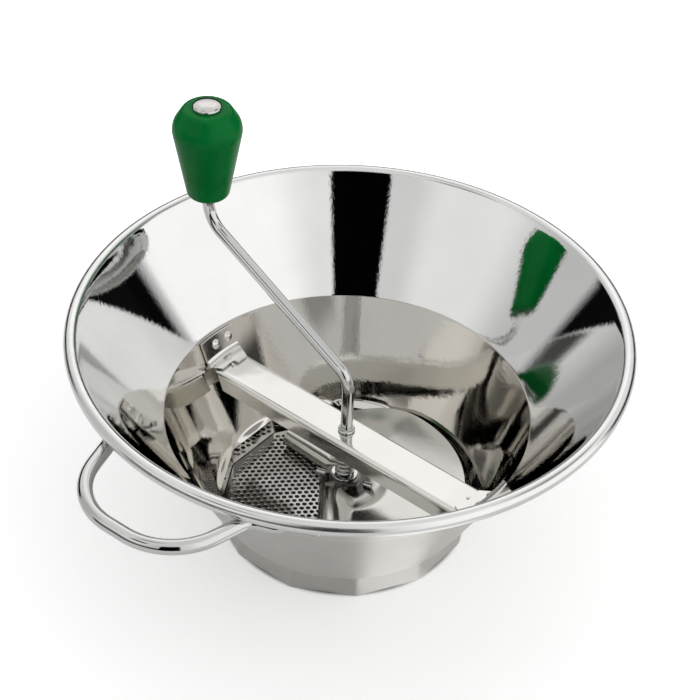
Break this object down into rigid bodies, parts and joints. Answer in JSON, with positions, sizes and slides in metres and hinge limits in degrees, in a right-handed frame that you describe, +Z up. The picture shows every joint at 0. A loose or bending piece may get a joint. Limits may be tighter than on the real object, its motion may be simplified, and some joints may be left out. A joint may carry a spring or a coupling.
{
  "type": "food mill",
  "caption": "Hand cranked food mill: flared steel bowl with loop handle, perforated sieve, crossbar, sprung blade and cranked rod with knob.",
  "frame": {"origin": "on the crank's vertical axis, in the plane of the bowl's foot that the mill stands on", "axes": "+Z up along the crank's axis. The band's corners lie on X and Y. The crossbar runs from +Y -X to -Y +X, and the loop handle reaches towards -X -Y"},
  "size_m": [0.31, 0.31, 0.2213],
  "materials": {
    "polished_steel": "mirror polished stainless steel",
    "steel": "bright drawn steel",
    "green_plastic": "glossy moulded plastic"
  },
  "bodies": {
    "basin": {"bowl": "polished_steel", "sieve": "polished_steel", "handle_loop": "steel", "bracket_left": "polished_steel", "bracket_right": "polished_steel", "rivet_left_1": "polished_steel", "rivet_left_2": "polished_steel", "rivet_right_1": "polished_steel", "rivet_right_2": "polished_steel"},
    "bridge": {"crossbar": "polished_steel", "spring_washer_upper": "steel", "spring": "steel"},
    "carrier": {"spring_washer_lower": "steel"},
    "crank": {"crank_rod": "steel", "stop_collar": "steel", "blade": "polished_steel", "drive_pin": "steel", "knob_ring": "steel", "knob_button": "polished_steel"},
    "grip": {"knob": "green_plastic"}
  },
  "joints": [
    {"name": "bridge_turn", "type": "hinge", "parent": "basin", "child": "bridge", "pos_m": [0, 0, 0.06], "axis": [0, 0, 1], "range_deg": [0, 25]},
    {"name": "press_lift", "type": "slide", "parent": "bridge", "child": "carrier", "axis": [0, 0, 1], "range_m": [0, 0.004], "stiffness_N_per_m": 2000, "springref_m": -0.01, "deforming": ["spring"]},
    {"name": "crank_spin", "type": "hinge", "parent": "carrier", "child": "crank", "pos_m": [0, 0, 0.06], "axis": [0, 0, 1], "continuous": true},
    {"name": "knob_spin", "type": "hinge", "parent": "crank", "child": "grip", "pos_m": [-0.07279, 0.09351, 0.1608], "axis": [0, 0, 1], "continuous": true}
  ]
}
